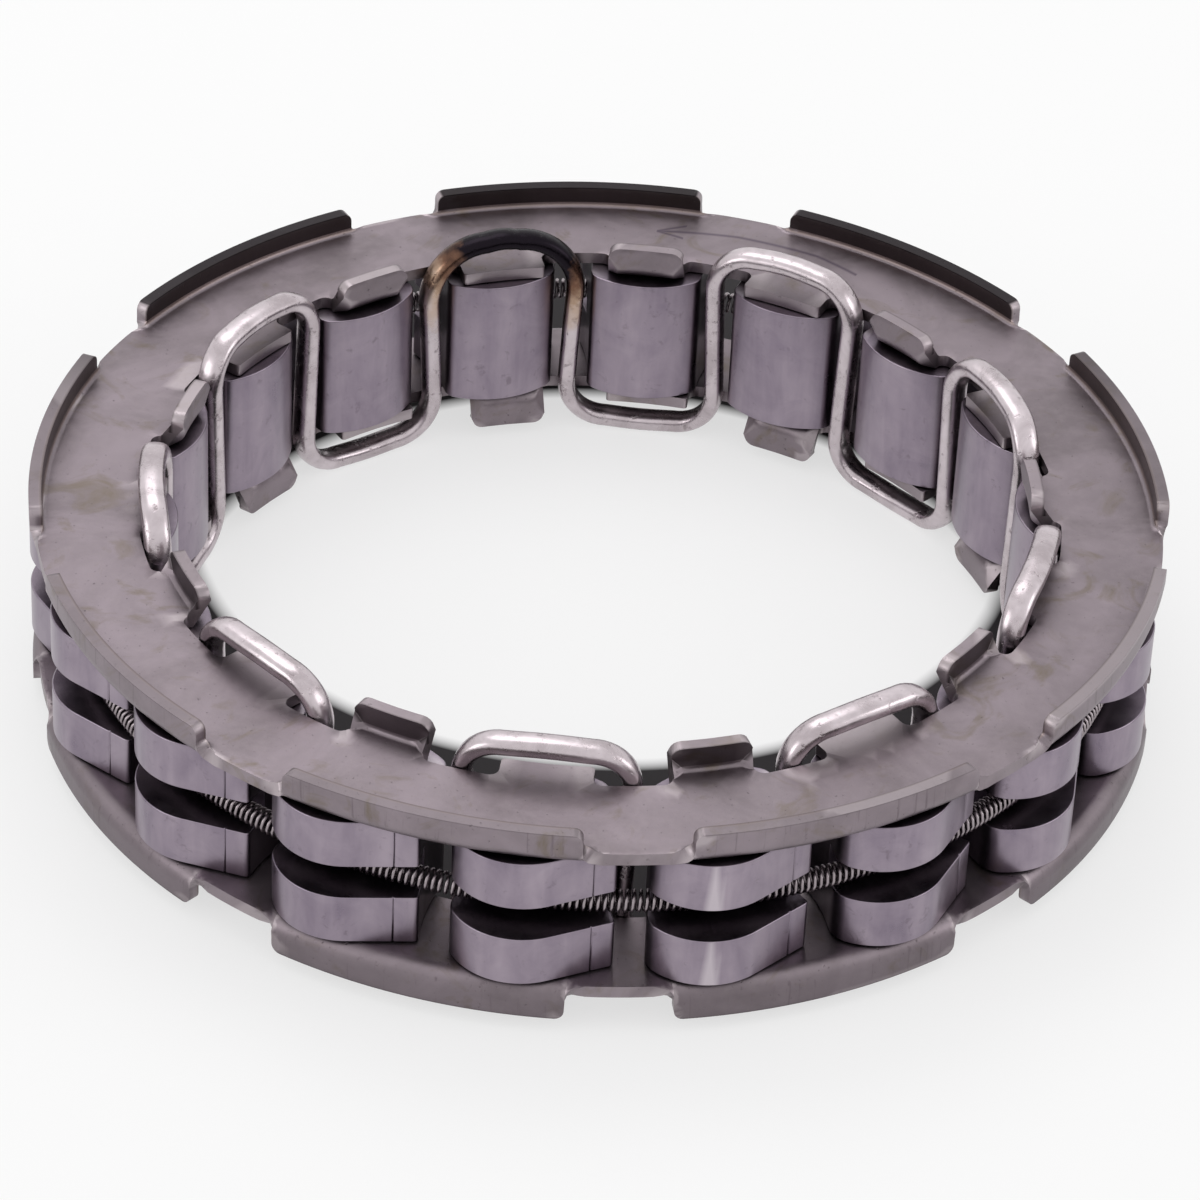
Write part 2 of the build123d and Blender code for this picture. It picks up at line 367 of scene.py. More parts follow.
def make_plate_steel():
    """Cloudy satin strip steel, with its marks, painted shade and painted highlights laid on one
    after another.
    """
    material, tree, shader = new_material("pressed_plate_steel")
    ground = place(tree)
    radius, angle, height = ring_place(tree)
    from_middle = without_sign(tree, height)
    broad = clouds(tree, ground, 9.0, 4.0, 0.6, 0.6)
    fine = clouds(tree, ground, 1.2, 6.0, 0.7)
    tarnish = spread(tree, clouds(tree, ground, 6.0, 5.0, 0.6, 1.5), 0.56, 0.72)
    pits = spread(tree, clouds(tree, ground, 0.35, 2.0, 0.5), 0.68, 0.76)
    upright_grain = place(tree, (1, 1, 0.05))
    streaks = spread(tree, clouds(tree, upright_grain, 0.45, 3.0, 0.6), 0.60, 0.72)

    wall = spread(tree, radius, *wall_radii)
    # the lower plate's lip walls, for painted shade
    low_wall = times(tree, wall, maths(tree, "LESS_THAN", height, 0.0))
    # painted highlight where the rim bend leaves the flat of the plate
    bend_root = spread(tree, from_middle, plate_outside + 0.07, plate_outside + 0.25)
    bend_root_highlight = times(tree, hump(tree, radius, bend_highlight_radius, 0.35), bend_root)
    tall = maths(tree, "GREATER_THAN", from_middle, plate_outside + 0.5)
    # the lips' faces towards the bore, for painted shade
    lip_back = times(tree, tall, hump(tree, radius, lip_back_radius, 0.3))
    # the tabs' faces towards the rim, for painted shade
    tab_back = times(tree, tall, hump(tree, radius, tab_back_radius, 0.3))
    top_edge = spread(tree, from_middle, lip_top - 0.16, lip_top - 0.06)
    crown = times(tree, maths(tree, "GREATER_THAN", radius, crown_radius), top_edge)
    # painted shade grows towards the far side of the ring, standing in for the reflection of an
    # unlit wall
    far_side = spread(tree, maths(tree, "SINE", angle), 0.2, 0.6, 0.0, 0.92)
    distant_lip_shade = times(tree, far_side, maths(tree, "MAXIMUM", lip_back, crown))

    colour = blend_colours(tree, spread(tree, broad, 0.35, 0.65), strip_dark, strip_light)
    layers = [
        (grain_light, spread(tree, fine, 0.45, 0.75), 0.30),
        (olive_tarnish, tarnish, 0.60),
        (pit_brown, pits, 0.5),
        (score_grey, times(tree, streaks, wall), 0.45),
        # painted highlight along the root of each rim bend
        (bend_root_highlight_gold, bend_root_highlight, 0.6),
        # bright convex edges: rubbed wear and a painted highlight
        (edge_bright, edge_wear_and_highlight(tree, 0.52, 0.60), 0.6),
        (etched_line, arrow_mark(tree, radius, angle, height), 0.75),
        # painted shade on the lips' inner faces
        (lip_back_painted_shade, lip_back, 0.9),
        (crown_grey, crown, 0.35),
        # painted shade on the far lips' inner faces and crowns
        (distant_lip_shade_colour, distant_lip_shade, 1.0),
        # painted shade on the tabs' faces towards the rim
        (tab_back_painted_shade, tab_back, 0.9),
        # painted shade on the lower plate's lip walls
        (low_wall_painted_shade, low_wall, 0.35),
    ]
    for tint, mask, share in layers:
        colour = over(tree, colour, tint, mask, share)
    # painted shade in the plate's corners
    colour = shade_recesses(tree, colour, plate_corner_dark, 3.5, 0.35)

    satin = maths(tree, "ADD", times(tree, broad, 0.6), times(tree, fine, 0.4))
    bump = relief(tree, fine, 0.014, below=relief(tree, broad, 0.05))
    bump = relief(tree, minus(tree, 1.0, pits), 0.02, below=bump)
    finish_metal(tree, shader, colour, spread(tree, satin, 0.3, 0.7, 0.34, 0.50), bump)
    return material


plate_steel = make_plate_steel()
print("material", plate_steel.name)

# %% [markdown]
# ## Side plates: the flat blank
#
# The real plate is blanked flat and then pressed: nine long lips turn up at the
# rim, nine short tabs turn up in the bore, and nine lands between the tabs stay
# flat. Modelling it the same way keeps the sheet one thickness everywhere. One
# lip pitch of the blank is drawn as an outline of angle and radius.

# %% Blank sizes
bend_inside = 0.4
bend_radius = bend_inside + sheet / 2  # of the middle of the sheet
bend_length = bend_radius * pi / 2
lip_set_in = 0.105  # of the lips' outer faces, from the outer race
lip_outer_radius = outer_race_radius - lip_set_in
lip_line = lip_outer_radius - sheet / 2 - bend_radius  # where the rim bend starts
lip_end = lip_line + bend_length + lip_top - plate_outside - bend_inside
lip_gap = radians(10.4)
lip_half_gap = lip_outer_radius * lip_gap / 2
lip_crown = 0.8
lip_root = 0.7
rim_radius = lip_outer_radius - 0.5  # of the edge in a gap between two lips
tab_inner_radius = inner_race_radius + 0.8
tab_line = tab_inner_radius + sheet / 2 + bend_radius  # where the bore bend starts
tab_height = 2.25
tab_end = tab_line - bend_length - tab_height + bend_inside
tab_half = 3.4
tab_crown = 1.0
land_radius = inner_race_radius + 1.1
land_half = 3.8
land_crown = 0.35
notch_radius = land_radius + 2.4
notch_fillet = 0.9
bend_fade = 1.2  # length of rim over which a bend dies out
plate_lag = radians(1.1)  # play between the two plates
middle_of_sheet = plate_inside + sheet / 2
column = radians(1.25)  # spacing of the points round the ring
row_spacing = 0.5  # spacing of the rows on the pressed-up faces
bend_rows = 7  # rows over a bend
bend_shares = [1 - step / bend_rows for step in range(bend_rows + 1)]
lip_bend_rows = [lip_line + bend_length * share for share in bend_shares]
lip_rows = [lip_end - row_spacing * step for step in range(1, 4)] + lip_bend_rows
tab_rows = [tab_end + row_spacing * step for step in range(1, 4)]
tab_rows += [tab_line - bend_length * share for share in bend_shares]
flat_rows = [46.0, 44.0, 42.0]  # rows on the flat of the plate
notch_row = 40.6  # a last row just outside the notches
print("rim bend from", round(lip_line, 2), "bore bend from", round(tab_line, 2))

# %% [markdown]
# ## Side plates: the outline of one pitch
#
# Half a gap with half a lip, half a tab and half a land are drawn with rounded
# corners, mirrored and joined. Two straight cuts at the ends close the outline.

# %% Outline of the blank
def quarter(centre, radius, start, turn, steps=5):
    """Points of a quarter circle, from start degrees, turning by turn degrees."""
    angles = [radians(start + turn * step / steps) for step in range(steps + 1)]
    return [(centre[0] + radius * cos(angle), centre[1] + radius * sin(angle)) for angle in angles]


def level_run(first, last, radius):
    """Angles of the points along an arc of the ring, ends left out."""
    steps = max(1, round(abs(last - first) / column))
    return [(first + (last - first) * step / steps, radius) for step in range(1, steps)]


def rim_outline():
    """Half of a gap and half of a lip, as (angle, blank radius) from 0 to 20 degrees."""
    root = quarter((lip_half_gap - lip_root, rim_radius + lip_root), lip_root, -90, 90)
    crown = quarter((lip_half_gap + lip_crown, lip_end - lip_crown), lip_crown, 180, -90)
    curve = [(along / lip_outer_radius, radius) for along, radius in root + crown]
    start = level_run(0, curve[0][0], rim_radius)
    finish = level_run(curve[-1][0], lip_pitch / 2, lip_end)
    return [(0, rim_radius)] + start + curve + finish + [(lip_pitch / 2, lip_end)]


def bore_outline(half_width, end_radius, crown, folds):
    """Half of a tab or of a land, from its middle to the middle of the next notch."""
    top = quarter((half_width - crown, end_radius + crown), crown, -90, 90)
    foot_centre = (half_width + notch_fillet, notch_radius - notch_fillet)
    foot = quarter(foot_centre, notch_fillet, 180, -90)
    curve = []
    for along, radius in [(0, end_radius), (half_width / 2, end_radius)] + top + foot:
        bent_radius = max(radius, tab_inner_radius + sheet / 2) if folds else radius
        curve.append((asin(along / bent_radius), radius))
    end = (sprag_pitch / 2, notch_radius)
    return curve + level_run(curve[-1][0], *end) + [end]


def mirrored(curve):
    """The same half outline on the other side of its middle line."""
    return [(-angle, radius) for angle, radius in reversed(curve)]


def blank_outline():
    """One lip pitch of the blank, a gap in its middle, anticlockwise."""
    half_rim = rim_outline()
    rim = mirrored(half_rim) + half_rim[1:]
    half_tab = bore_outline(tab_half, tab_end, tab_crown, True)
    half_land = bore_outline(land_half, land_radius, land_crown, False)
    tab = mirrored(half_tab) + half_tab[1:]
    land = mirrored(half_land) + half_land[1:]
    bore = [(angle - sprag_pitch / 2, radius) for angle, radius in land]
    bore += [(angle + sprag_pitch / 2, radius) for angle, radius in tab[1:]]
    left_cut = [(-lip_pitch / 2, radius) for radius in lip_rows + flat_rows]
    return bore + mirrored(left_cut) + rim[::-1] + left_cut


outline = blank_outline()
print("blank outline", len(outline), "points a pitch")

# %% [markdown]
# ## Side plates: filling the blank
#
# The outline is filled with triangles by a constrained Delaunay triangulation,
# with rows of extra points where the sheet is going to bend, and close columns of
# them where a bend runs out at the end of a lip.

# %% Fill the blank
least_clearance = 0.12  # of an extra point from the outline
root_columns = 9
root_column_spacing = 0.3
root_columns_start = 1.4  # before the end of a lip


def flat(point):
    """Place on the flat blank, in the plane."""
    return Vector((point[1] * cos(point[0]), point[1] * sin(point[0])))


def clear_inside(candidates, loop, margin):
    """Candidates inside the loop that are at least margin away from it."""
    points = np.array([flat(point) for point in candidates])
    start = np.array([flat(point) for point in loop])
    end = np.roll(start, -1, axis=0)
    edge = end - start
    offset = points[:, None, :] - start[None, :, :]
    share = np.clip((offset * edge).sum(2) / (edge ** 2).sum(1), 0, 1)
    distance = np.linalg.norm(offset - share[..., None] * edge, axis=2).min(1)
    spans = (start[:, 1] > points[:, 1:]) != (end[:, 1] > points[:, 1:])
    rise = np.where(edge[:, 1] == 0, 1e-9, edge[:, 1])
    crossing = start[:, 0] + (points[:, 1:] - start[:, 1]) * edge[:, 0] / rise
    inside = (spans & (points[:, :1] < crossing)).sum(1) % 2 == 1
    return [point for point, kept in zip(candidates, inside & (distance > margin)) if kept]


def fill_blank():
    """Points (angle, radius) and triangles of one pitch of the blank."""
    extra = []
    for step in range(1, round(lip_pitch / column)):
        angle = -lip_pitch / 2 + step * column
        extra += [(angle, radius) for radius in lip_rows + flat_rows + [notch_row]]
        if angle > 0:
            extra += [(angle, radius) for radius in tab_rows]
    for side in (-1, 1):
        for step in range(root_columns):
            along = lip_half_gap - root_columns_start + root_column_spacing * step
            angle = side * along / lip_outer_radius
            extra += [(angle, radius) for radius in lip_bend_rows]
    loop = [flat(point) for point in outline]
    inner = [flat(point) for point in clear_inside(extra, outline, least_clearance)]
    ring = list(range(len(loop)))
    points, _, triangles, _, _, _ = delaunay_2d_cdt(loop + inner, [], [ring], 1, 1e-5)
    return [(atan2(p.y, p.x), p.length) for p in points], triangles


blank_points, blank_triangles = fill_blank()
print("blank", len(blank_points), "points and", len(blank_triangles), "triangles a pitch")

# %% [markdown]
# ## Side plates: pressing
#
# Every point of the blank is moved to where pressing puts it. Near the end of a
# lip the bend fades out over the rounded root, which is how the pressed sheet runs
# back to flat in a gap. Nine pitches make a plate. The lower plate is the same
# pressing turned over, and stands a little behind the upper one.

# %% Press the blank
def pressed(run, share):
    """Out and up of the sheet's middle, run millimetres past a bend line."""
    if run <= 0 or share < 0.01:
        return run, 0.0
    turn = share * min(run, bend_length) / bend_radius
    straight = max(run - bend_length, 0)
    out = bend_radius / share * sin(turn) + straight * cos(share * pi / 2)
    up = bend_radius / share * (1 - cos(turn)) + straight * sin(share * pi / 2)
    return out, up


def press_point(angle, radius):
    """Where a point of the blank goes: angle, radius and height."""
    if radius > lip_line:
        along = abs(angle) * lip_outer_radius
        ease = min(max((along - lip_half_gap + bend_fade) / bend_fade, 0), 1)
        smooth = ease * ease * (3 - 2 * ease)
        out, up = pressed(radius - lip_line, smooth)
        return angle, lip_line + out, middle_of_sheet + up
    if radius < tab_line and angle > 0:
        out, up = pressed(tab_line - radius, 1.0)
        return angle, tab_line - out, middle_of_sheet + up
    return angle, radius, middle_of_sheet


def press_plate():
    """Points and faces of the whole upper plate's middle surface."""
    points, faces = [], []
    for index in range(lip_count):
        turn = front + lip_pitch * index
        first = len(points)
        for blank_point in blank_points:
            angle, radius, height = press_point(*blank_point)
            points.append((radius * cos(angle + turn), radius * sin(angle + turn), height))
        faces += [[first + corner for corner in triangle] for triangle in blank_triangles]
    return points, faces


sheared_rounding = 0.12  # of the sheet's cut edges


def make_plate(name, turned_over):
    """A side plate: pressed surface, sheet thickness and sheared edges."""
    points, faces = press_plate()
    if turned_over:
        turn = Matrix.Rotation(-plate_lag, 3, "Z")
        points = [turn @ Vector((-x, y, -z)) for x, y, z in points]
    plate = make_object(name, points, faces, plate_steel)
    weld = plate.modifiers.new("join pitches", "WELD")
    weld.merge_threshold = 0.01 * mm
    thick = plate.modifiers.new("sheet", "SOLIDIFY")
    thick.thickness = sheet * mm
    thick.offset = 0
    thick.use_even_offset = True
    soften_edges(plate, sheared_rounding)
    return plate


upper_plate = make_plate("upper_plate_pressed", False)
stand_for(upper_plate, "upper_side_plate", "cage")
lower_plate = make_plate("lower_plate_pressed", True)
stand_for(lower_plate, "lower_side_plate", "cage")
print("plates", len(upper_plate.data.vertices), "points each")

# %% [markdown]
# ## Wire cage
#
# One flattened steel wire runs up a leg, over a land of the upper plate, down the
# next leg and under a land of the lower plate, all the way round, and its two ends
# are butt-welded at the top of one loop, which is bent rounder than the others.

# %% Wire sizes
wire_width = 2.3  # in and out of the bore
wire_thickness = 1.65  # across that, along the bore's wall
wire_bend = 3.7
bend_scatter = 0.3  # no two bends are quite alike
wire_radius = notch_radius - 0.1 - wire_width / 2
wire_crest = box_mm("wire_cage")[1].z - wire_thickness / 2
crest_scatter = 0.06
loop_dome = 0.2  # the bars bow outwards a little
leg_lean = 0.25  # a loop is wider at its closed end
half_loop = wire_radius * sprag_pitch / 2
welded_loop = 9
welded_bend = 5.4
weld_angle = radians(98)
weld_height = 10.0
weld_neck = 0.955  # the section's share left at the weld
print("wire round", round(wire_radius, 2), "crests at", round(wire_crest, 3))

# %% [markdown]
# ## Steel of the wire
#
# Bright drawn wire with nicks. Round the weld the heat has left rings of colour:
# straw furthest out, then brown, then black scale.

# %% Wire steel
drawn_dark, drawn_light = (0.44, 0.385, 0.405), (0.65, 0.58, 0.61)
nick_brown = (0.16, 0.12, 0.13)
# painted shade in the wire's corners
wire_corner_dark = (0.03, 0.02, 0.022)
heat_rings = [  # starts and is whole at, strength, colour
    (11.5, 8.5, 0.75, (0.46, 0.30, 0.17)),
    (9.0, 7.0, 0.9, (0.13, 0.060, 0.038)),
    (7.0, 5.4, 1.0, (0.014, 0.011, 0.015)),
]


def weld_distance(tree):
    """Distance in millimetres from the butt weld, made uneven."""
    weld = Vector((wire_radius * cos(weld_angle), wire_radius * sin(weld_angle), weld_height))
    ground = place(tree)
    span = add_node(tree, "ShaderNodeVectorMath", {0: ground, 1: weld}, operation="DISTANCE")
    uneven = spread(tree, clouds(tree, ground, 2.0, 3.0, 0.6), 0.3, 0.7, -1.0, 1.0)
    return maths(tree, "ADD", span.outputs["Value"], uneven)


def make_wire_steel():
    """Bright drawn wire, nicked, with the heat colours of the weld and painted shade in its
    corners.
    """
    material, tree, shader = new_material("drawn_wire_steel")
    ground = place(tree)
    broad = clouds(tree, ground, 3.5, 4.0, 0.6, 0.4)
    nicks = spread(tree, clouds(tree, ground, 0.8, 4.0, 0.65), 0.60, 0.72)
    colour = blend_colours(tree, spread(tree, broad, 0.35, 0.65), drawn_dark, drawn_light)
    colour = over(tree, colour, nick_brown, nicks, 0.5)
    away = weld_distance(tree)
    for starts, whole, strength, tint in heat_rings:
        colour = over(tree, colour, tint, spread(tree, away, starts, whole), strength)
    # painted shade in the wire's corners
    colour = shade_recesses(tree, colour, wire_corner_dark, 1.6, 0.9)
    bump = relief(tree, minus(tree, 1.0, nicks), 0.03, below=relief(tree, broad, 0.06))
    finish_metal(tree, shader, colour, spread(tree, broad, 0.3, 0.7, 0.22, 0.34), bump)
    return material


wire_steel = make_wire_steel()
print("material", wire_steel.name)

# %% [markdown]
# ## Path and sweep of the wire
#
# The path is laid out flat, as length round the ring and height: legs, rounded
# bends and bars. It is then wrapped round the bore and carries one section.

# %% Wire path
def wire_loop_path(bend, crest, lean):
    """Along and up from the middle of a leg to the middle of the next, over a land."""
    centre = (-half_loop - lean + bend, crest - bend)
    rise = [(-half_loop, 0.0), (-half_loop - lean / 2, (crest - bend) / 2)]
    corner = quarter(centre, bend, 180, -90, 12)
    bar = []
    for step in range(1, 5):
        share = step / 4
        bar.append((centre[0] * (1 - share), crest + loop_dome * sin(share * pi / 2)))
    half = rise + corner + bar
    return half + [(-along, up) for along, up in reversed(half[1:-1])]


def wire_path():
    """The closed centre line as (length round the ring, height)."""
    path = []
    for index in range(sprag_count):
        side = 1 if index % 2 else -1
        middle = half_loop * (2 * index + 1)
        bend = wire_bend - bend_scatter * sin(2.3 * index)
        crest = wire_crest - loop_dome - crest_scatter * (1 + sin(1.7 * index))
        if index == welded_loop:
            bend, crest = welded_bend, wire_crest - loop_dome
        loop_path = wire_loop_path(bend, crest, leg_lean)
        path += [(middle + along, side * up) for along, up in loop_path]
    return path


centre_line = wire_path()
print("wire path", len(centre_line), "points")


# %% Wire sweep
def rounded_section(width, thickness, steps=20, fullness=2.6):
    """A flattened round section as (in and out, across) points."""
    points = []
    for step in range(steps):
        turn = 2 * pi * (step + 0.5) / steps
        across, through = cos(turn), sin(turn)
        reach = (abs(across) ** fullness + abs(through) ** fullness) ** (-1 / fullness)
        points.append((reach * across * width / 2, reach * through * thickness / 2))
    return points


def sweep_wire(path):
    """Points and faces of the wire, closed on itself."""
    section = rounded_section(wire_width, wire_thickness)
    total = 2 * pi * wire_radius
    weld_along = (weld_angle - front) * wire_radius
    weld_index = min(range(len(path)), key=lambda i: abs(path[i][0] - weld_along))
    points = []
    for index, (along, up) in enumerate(path):
        before, after = path[index - 1], path[(index + 1) % len(path)]
        run = (after[0] - before[0] + total / 2) % total - total / 2
        climb = after[1] - before[1]
        length = hypot(run, climb)
        out, onward = ring_directions(front + along / wire_radius)
        across = onward * (climb / length) - Vector((0, 0, 1)) * (run / length)
        centre = out * wire_radius + Vector((0, 0, up))
        size = weld_neck if index == weld_index else 1.0
        points += [centre + (out * depth + across * side) * size for depth, side in section]
    return points, tube_faces(len(path), len(section))


wire_points, wire_faces = sweep_wire(centre_line)
wire = make_object("wire_cage_drawn", wire_points, wire_faces, wire_steel)
stand_for(wire, "wire_cage", "cage")
print("wire", len(wire_points), "points")

# %% [markdown]
# ## Sprags
#
# A sprag is a short length of drawn cam profile with a groove milled across its
# outer side for the garter spring. The outline is two cams, a straight flank down
# to the heel, hollow waists and rounded toes. It is drawn once as a closed curve
# and stacked in levels, so every sharp edge gets its own small chamfer.

# %% Sprag steel
ground_dark, ground_light = (0.222, 0.183, 0.234), (0.386, 0.328, 0.383)
handling_mark = (0.11, 0.085, 0.105)
# rubbed wear and painted highlight on the sprags' sharp edges
ground_edge_bright = (0.62, 0.56, 0.60)
# painted shade in the sprags' recesses
sprag_corner_dark = (0.015, 0.010, 0.014)


def make_sprag_steel():
    """Ground steel, mottled along its length, with handling marks, edges lightened by rubbed wear
    and a painted highlight, and painted shade in its recesses.
    """
    material, tree, shader = new_material("ground_sprag_steel")
    ground = place(tree)
    mottle = clouds(tree, place(tree, (1, 1, 0.22)), 2.2, 3.0, 0.55, 0.3)
    blotch = clouds(tree, ground, 3.5, 4.0, 0.6, 0.8)
    grain = clouds(tree, place(tree, (1, 1, 0.06)), 0.25, 3.0, 0.6)
    marks = spread(tree, clouds(tree, ground, 1.3, 5.0, 0.65, 0.5), 0.60, 0.72)
    both = maths(tree, "ADD", times(tree, mottle, 0.6), times(tree, blotch, 0.4))
    colour = blend_colours(tree, spread(tree, both, 0.30, 0.70), ground_dark, ground_light)
    colour = over(tree, colour, handling_mark, marks, 0.40)
    # bright convex edges: rubbed wear and a painted highlight
    colour = over(tree, colour, ground_edge_bright, edge_wear_and_highlight(tree, 0.58, 0.68), 0.7)
    # painted shade in the sprags' recesses and gaps
    colour = shade_recesses(tree, colour, sprag_corner_dark, 5.0, 0.12)
    bump = relief(tree, grain, 0.004, below=relief(tree, both, 0.03))
    finish_metal(tree, shader, colour, spread(tree, both, 0.3, 0.7, 0.26, 0.40), bump)
    return material


sprag_steel = make_sprag_steel()
print("material", sprag_steel.name)

# %% [markdown]
# ## Outline of a sprag
#
# The two cams are arcs that touch the races, the flank is straight down to the
# heel and carries a drawn score, and the waists leave room for the wire's legs.
# Each run of points names how far from its end the next corner is rounded.

# %% Sprag outline
outer_cam = 6.0
outer_cam_shift = -1.3
inner_cam = 8.5
inner_cam_shift = 0.4
flank_slope = radians(28.7)
heel_clearance = 1.27
toe_clearance = 1.07
toe_level = 2.0
toe_turn = radians(58.2)
waist_depth = 0.45
leg_clearance = 0.84
half_pitch = sprag_pitch / 2
score_along = 4.9  # of the score on the flank
score_half = 0.13
score_depth = 0.14
heel_rounding = 0.45
foot_rounding = 0.8
toe_rounding = 0.9


def arc_through(first, middle, last, steps):
    """Points of the circle through three points, first and last included."""
    (ax, ay), (bx, by), (cx, cy) = first, middle, last
    d = 2 * (ax * (by - cy) + bx * (cy - ay) + cx * (ay - by))
    a2, b2, c2 = ax * ax + ay * ay, bx * bx + by * by, cx * cx + cy * cy
    ux = (a2 * (by - cy) + b2 * (cy - ay) + c2 * (ay - by)) / d
    uy = (a2 * (cx - bx) + b2 * (ax - cx) + c2 * (bx - ax)) / d
    radius = hypot(ax - ux, ay - uy)
    start = atan2(ay - uy, ax - ux)
    half = (atan2(by - uy, bx - ux) - start + pi) % (2 * pi) - pi
    sweep = (atan2(cy - uy, cx - ux) - start + pi) % (2 * pi) - pi
    if half * sweep < 0:
        sweep += 2 * pi if half > 0 else -2 * pi
    turns = [start + sweep * step / steps for step in range(steps + 1)]
    return [(ux + radius * cos(turn), uy + radius * sin(turn)) for turn in turns]


def soft_corner(before, corner, after, reach, steps=4):
    """A rounded corner that starts and ends reach millimetres from the corner."""
    corner = Vector(corner)
    start = corner + (Vector(before) - corner).normalized() * reach
    end = corner + (Vector(after) - corner).normalized() * reach
    points = []
    for step in range(steps + 1):
        share = step / steps
        pull = corner * 2 * share * (1 - share)
        points.append(tuple(start * (1 - share) ** 2 + pull + end * share ** 2))
    return points


def scored_flank(start, heel):
    """The straight flank with the narrow drawn score that marks its end."""
    start, heel = Vector(start), Vector(heel)
    onward = (heel - start).normalized()
    inward = Vector((-onward.y, onward.x))
    middle = start + onward * (score_along - start.y) / onward.y
    half = onward * score_half
    score = [middle - half, middle + inward * score_depth, middle + half]
    return [tuple(point) for point in [start] + score + [heel]]


def cam_axes():
    """Distances of the two cams' axes from the ring's axis."""
    outer_reach = outer_race_radius - race_clearance - outer_cam
    inner_reach = inner_race_radius + inner_cam
    outer = sqrt(outer_reach ** 2 - outer_cam_shift ** 2)
    return outer, sqrt(inner_reach ** 2 - inner_cam_shift ** 2)


def heel_on_flank(flank_start):
    """Where the flank ends, its clearance short of the line between two sprags."""
    on_middle_line = flank_start[0] + flank_start[1] * tan(flank_slope)
    reach = on_middle_line * tan(half_pitch) - heel_clearance / cos(half_pitch)
    along = reach / (1 + tan(flank_slope) * tan(half_pitch))
    return (flank_start[0] - (along - flank_start[1]) * tan(flank_slope), along)


def sprag_runs():
    """The outline's runs of points, each with the rounding of its last corner."""
    outer_axis, inner_axis = cam_axes()
    flank_start = (
        outer_axis + outer_cam * cos(flank_slope),
        outer_cam_shift + outer_cam * sin(flank_slope),
    )
    heel = heel_on_flank(flank_start)
    toe_out = outer_axis + toe_level
    toe_along = toe_out * tan(half_pitch) - toe_clearance / cos(half_pitch)
    toe = (toe_out, -toe_along)
    cam_end = (outer_axis + outer_cam * cos(toe_turn), outer_cam_shift - outer_cam * sin(toe_turn))
    leg_side = wire_thickness / 2 + leg_clearance
    foot = wire_radius * tan(half_pitch) - leg_side / cos(half_pitch)
    heel_foot = (inner_axis - sqrt(inner_cam ** 2 - (foot - inner_cam_shift) ** 2), foot)
    toe_foot = (inner_axis - sqrt(inner_cam ** 2 - (foot + inner_cam_shift) ** 2), -foot)
    waist_out = (heel[0] + heel_foot[0]) / 2
    heel_waist = (waist_out, (heel[1] + foot) / 2 - waist_depth)
    toe_waist = (waist_out, waist_depth - (toe_along + foot) / 2)
    outer_crest = (outer_axis + outer_cam, outer_cam_shift)
    inner_crest = (inner_axis - inner_cam, inner_cam_shift)
    return [
        (arc_through(cam_end, outer_crest, flank_start, 18), 0),
        (scored_flank(flank_start, heel), heel_rounding),
        (arc_through(heel, heel_waist, heel_foot, 10), foot_rounding),
        (arc_through(heel_foot, inner_crest, toe_foot, 14), foot_rounding),
        (arc_through(toe_foot, toe_waist, toe, 10), toe_rounding),
        ([toe, cam_end], 0),
    ]


def join_runs(runs):
    """One closed outline, anticlockwise, of (out, along) points of a sprag on +X."""
    points = []
    for index, (run, reach) in enumerate(runs):
        last_reach = runs[index - 1][1]
        first, last = Vector(run[0]), Vector(run[-1])
        if last_reach == 0:
            points.append(run[0])
        for point in run[1:-1]:
            here = Vector(point)
            if (here - first).length > last_reach and (here - last).length > reach:
                points.append(point)
        if reach:
            next_run = runs[(index + 1) % len(runs)][0]
            points += soft_corner(run[-2], run[-1], next_run[1], reach)
    return points


profile = join_runs(sprag_runs())
print("sprag outline", len(profile), "points")

# %% [markdown]
# ## Levels of a sprag
#
# The outline is stacked in eight levels: a small chamfer at each end, and two more
# beside the spring groove, which is cut across the outer side down to a gently
# crowned floor. One mesh is turned to eighteen places round the ring.

# %% Sprag mesh
edge_chamfer = 0.12
sprag_half_length = box_mm("sprag_01")[1].z
groove_half_width = 1.55
groove_floor_radius = 43.75
groove_crown = 20.0
groove_centre = Vector((groove_floor_radius - groove_crown, 0))  # of the floor's arc
floor_steps = 10


def inset(points, amount):
    """The closed outline moved inwards by amount."""
    moved = []
    for index, point in enumerate(points):
        here = Vector(point)
        before = (here - Vector(points[index - 1])).normalized()
        after = (Vector(points[(index + 1) % len(points)]) - here).normalized()
        normal = Vector((-before.y - after.y, before.x + after.x)).normalized()
        share = max(normal.dot(Vector((-before.y, before.x))), 0.5)
        moved.append(tuple(here + normal * amount / share))
    return moved


def past_floor(point):
    """How far a point of the outline lies outside the arc of the groove's floor."""
    return (Vector(point) - groove_centre).length - groove_crown


def floor_crossing(first, second):
    """Where the outline crosses the floor's arc between two points."""
    before, after = past_floor(first), past_floor(second)
    return tuple(Vector(first).lerp(Vector(second), before / (before - after)))


def cut_by_floor(points):
    """Split the outline by the groove floor: crossings, rim and core chains."""
    past = [past_floor(point) for point in points]
    start = next(i for i in range(len(points)) if past[i - 1] < 0 <= past[i])
    ordered = points[start:] + points[:start]
    rim = [point for point in ordered if past_floor(point) >= 0]
    core = [point for point in ordered if past_floor(point) < 0]
    return floor_crossing(core[-1], rim[0]), rim, floor_crossing(rim[-1], core[0]), core


def floor_points(toe_cross, heel_cross):
    """Points along the groove's floor between its two crossings, ends left out."""
    first = atan2(toe_cross[1], toe_cross[0] - groove_centre.x)
    last = atan2(heel_cross[1], heel_cross[0] - groove_centre.x)
    turns = [first + (last - first) * step / floor_steps for step in range(1, floor_steps)]
    middle = groove_centre.x
    return [(middle + groove_crown * cos(turn), groove_crown * sin(turn)) for turn in turns]


